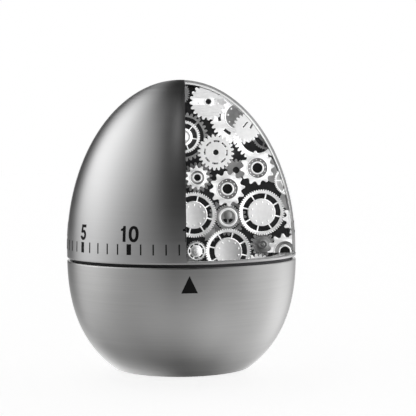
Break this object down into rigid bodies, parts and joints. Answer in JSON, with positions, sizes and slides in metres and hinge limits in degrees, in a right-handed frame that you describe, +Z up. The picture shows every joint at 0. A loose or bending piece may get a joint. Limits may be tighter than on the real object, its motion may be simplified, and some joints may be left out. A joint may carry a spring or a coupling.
{
  "type": "kitchen timer",
  "caption": "Egg-shaped steel kitchen timer: turning dial dome with a quarter window onto a geared clockwork movement, on a fixed cup-shaped base.",
  "frame": {"origin": "centre of the foot ring's underside, on the axis of the dial", "axes": "+Z up along the axis of the dial; the pointer and the window face -Y and the window is on the +X side"},
  "size_m": [0.06, 0.06, 0.0765],
  "materials": {
    "brushed_steel": "brushed",
    "bright_wheel": "polished",
    "dim_wheel": "dull",
    "black_plate": "matte black",
    "rubber": "matte",
    "brass": "satin"
  },
  "bodies": {
    "movement": {"lower_shell": "brushed_steel", "bearing_ring": "black_plate", "base_cover": "black_plate", "base_screw_1": "brushed_steel", "base_screw_2": "brushed_steel", "base_screw_3": "brushed_steel", "foot_ring": "rubber", "chassis": "black_plate", "main_plate": "black_plate", "rear_bridge": "brass", "bridge_pillar_1": "brushed_steel", "bridge_pillar_2": "brushed_steel", "bridge_pillar_3": "brushed_steel", "relief_top_gear": "bright_wheel", "relief_slotted_gear": "bright_wheel", "relief_small_gear": "bright_wheel", "relief_ring_gear": "bright_wheel", "relief_corner_gear": "bright_wheel", "relief_edge_gear": "bright_wheel", "relief_side_gear": "bright_wheel", "mainspring_barrel": "brass", "mainspring": "brushed_steel", "hairspring": "brushed_steel", "bell": "bright_wheel", "bell_post": "brushed_steel", "hammer_post": "brushed_steel"},
    "dial": {"upper_shell": "brushed_steel", "carrier_ring": "black_plate"},
    "drive_body": {"drive_arbor": "brushed_steel", "drive_wheel": "dim_wheel"},
    "lower_left_body": {"lower_left_arbor": "bright_wheel"},
    "lower_body": {"lower_wheel": "bright_wheel", "lower_arbor": "bright_wheel"},
    "centre_body": {"centre_wheel": "dim_wheel", "centre_arbor": "bright_wheel"},
    "right_body": {"right_wheel": "bright_wheel", "right_arbor": "bright_wheel"},
    "left_body": {"left_wheel": "bright_wheel", "left_arbor": "bright_wheel"},
    "lower_right_body": {"lower_right_wheel": "dim_wheel", "lower_right_arbor": "dim_wheel"},
    "bottom_body": {"bottom_wheel": "bright_wheel", "bottom_arbor": "bright_wheel"},
    "coarse_body": {"coarse_wheel": "bright_wheel", "coarse_arbor": "bright_wheel"},
    "idler_body": {"idler_wheel": "dim_wheel", "idler_arbor": "brushed_steel"},
    "slotted_body": {"slotted_wheel": "bright_wheel", "slotted_arbor": "bright_wheel"},
    "upper_coarse_body": {"upper_coarse_wheel": "bright_wheel", "upper_coarse_arbor": "bright_wheel"},
    "small_body": {"small_wheel": "bright_wheel", "small_back_wheel": "dim_wheel", "small_arbor": "bright_wheel"},
    "ring_body": {"ring_wheel": "dim_wheel", "ring_arbor": "dim_wheel"},
    "escape_body": {"escape_wheel": "brushed_steel"},
    "pallet_body": {"pallet_lever": "brushed_steel"},
    "balance_body": {"balance_wheel": "brass"},
    "hammer_body": {"hammer": "brushed_steel"}
  },
  "joints": [
    {"name": "dial_turn", "type": "hinge", "parent": "movement", "child": "dial", "pos_m": [0, 0, 0.029], "axis": [0, 0, 1], "range_deg": [-270, 90]},
    {"name": "drive_turn", "type": "hinge", "parent": "movement", "child": "drive_body", "pos_m": [0, 0.003, 0.02137], "axis": [0, -1, 0], "range_deg": [-1622, 542]},
    {"name": "lower_left_turn", "type": "hinge", "parent": "movement", "child": "lower_left_body", "pos_m": [0.00384, 0.003, 0.03154], "axis": [0, -1, 0], "range_deg": [-2072, 6212]},
    {"name": "lower_turn", "type": "hinge", "parent": "movement", "child": "lower_body", "pos_m": [0.01227, 0.003, 0.03139], "axis": [0, -1, 0], "range_deg": [-2693, 899]},
    {"name": "centre_turn", "type": "hinge", "parent": "movement", "child": "centre_body", "pos_m": [0.01221, 0.003, 0.04041], "axis": [0, -1, 0], "range_deg": [-1684, 5048]},
    {"name": "right_turn", "type": "hinge", "parent": "movement", "child": "right_body", "pos_m": [0.02115, 0.003, 0.04158], "axis": [0, -1, 0], "range_deg": [-2693, 899]},
    {"name": "left_turn", "type": "hinge", "parent": "movement", "child": "left_body", "pos_m": [0.00322, 0.003, 0.04107], "axis": [0, -1, 0], "range_deg": [-2693, 899]},
    {"name": "lower_right_turn", "type": "hinge", "parent": "movement", "child": "lower_right_body", "pos_m": [0.02144, 0.003, 0.03316], "axis": [0, -1, 0], "range_deg": [-2072, 6212]},
    {"name": "bottom_turn", "type": "hinge", "parent": "movement", "child": "bottom_body", "pos_m": [0.02017, 0.003, 0.02596], "axis": [0, -1, 0], "range_deg": [-4322, 1442]},
    {"name": "coarse_turn", "type": "hinge", "parent": "movement", "child": "coarse_body", "pos_m": [0.01208, 0.003, 0.04791], "axis": [0, -1, 0], "range_deg": [-8412, 2806]},
    {"name": "idler_turn", "type": "hinge", "parent": "movement", "child": "idler_body", "pos_m": [0.01453, 0.003, 0.05276], "axis": [0, -1, 0], "range_deg": [-3006, 9013]},
    {"name": "slotted_turn", "type": "hinge", "parent": "movement", "child": "slotted_body", "pos_m": [0.0092, 0.003, 0.05749], "axis": [0, -1, 0], "range_deg": [-5258, 1754]},
    {"name": "upper_coarse_turn", "type": "hinge", "parent": "movement", "child": "upper_coarse_body", "pos_m": [0.01994, 0.003, 0.0533], "axis": [0, -1, 0], "range_deg": [-8412, 2806]},
    {"name": "small_turn", "type": "hinge", "parent": "movement", "child": "small_body", "pos_m": [0.00425, 0.003, 0.05089], "axis": [0, -1, 0], "range_deg": [-2105, 6310]},
    {"name": "ring_turn", "type": "hinge", "parent": "movement", "child": "ring_body", "pos_m": [0.00078, 0.003, 0.06162], "axis": [0, -1, 0], "range_deg": [-905, 2710]},
    {"name": "escape_turn", "type": "hinge", "parent": "movement", "child": "escape_body", "pos_m": [0.00757, 0.003, 0.03577], "axis": [0, -1, 0], "range_deg": [-12617, 4207]},
    {"name": "pallet_swing", "type": "hinge", "parent": "movement", "child": "pallet_body", "pos_m": [0.00757, 0.0073, 0.04207], "axis": [0, -1, 0], "range_deg": [-4, 4]},
    {"name": "balance_swing", "type": "hinge", "parent": "movement", "child": "balance_body", "pos_m": [0.00757, 0.0088, 0.04717], "axis": [0, -1, 0], "range_deg": [-180, 180], "stiffness_Nm_per_rad": 0.000002},
    {"name": "hammer_swing", "type": "hinge", "parent": "movement", "child": "hammer_body", "pos_m": [0.0099, -0.0154, 0.012], "axis": [0, 0, 1], "range_deg": [-5, 20]}
  ],
  "couplings": [
    {"joint": "drive_turn", "follows": "dial_turn", "ratio": 6},
    {"joint": "lower_left_turn", "follows": "dial_turn", "ratio": -23},
    {"joint": "lower_turn", "follows": "dial_turn", "ratio": 9.9667},
    {"joint": "centre_turn", "follows": "dial_turn", "ratio": -18.688},
    {"joint": "right_turn", "follows": "dial_turn", "ratio": 9.9667},
    {"joint": "left_turn", "follows": "dial_turn", "ratio": 9.9667},
    {"joint": "lower_right_turn", "follows": "dial_turn", "ratio": -23},
    {"joint": "bottom_turn", "follows": "dial_turn", "ratio": 16},
    {"joint": "coarse_turn", "follows": "dial_turn", "ratio": 31.146},
    {"joint": "idler_turn", "follows": "dial_turn", "ratio": -33.371},
    {"joint": "slotted_turn", "follows": "dial_turn", "ratio": 19.466},
    {"joint": "upper_coarse_turn", "follows": "dial_turn", "ratio": 31.146},
    {"joint": "small_turn", "follows": "dial_turn", "ratio": -23.359},
    {"joint": "ring_turn", "follows": "dial_turn", "ratio": -10.028},
    {"joint": "escape_turn", "follows": "dial_turn", "ratio": 46.719}
  ]
}
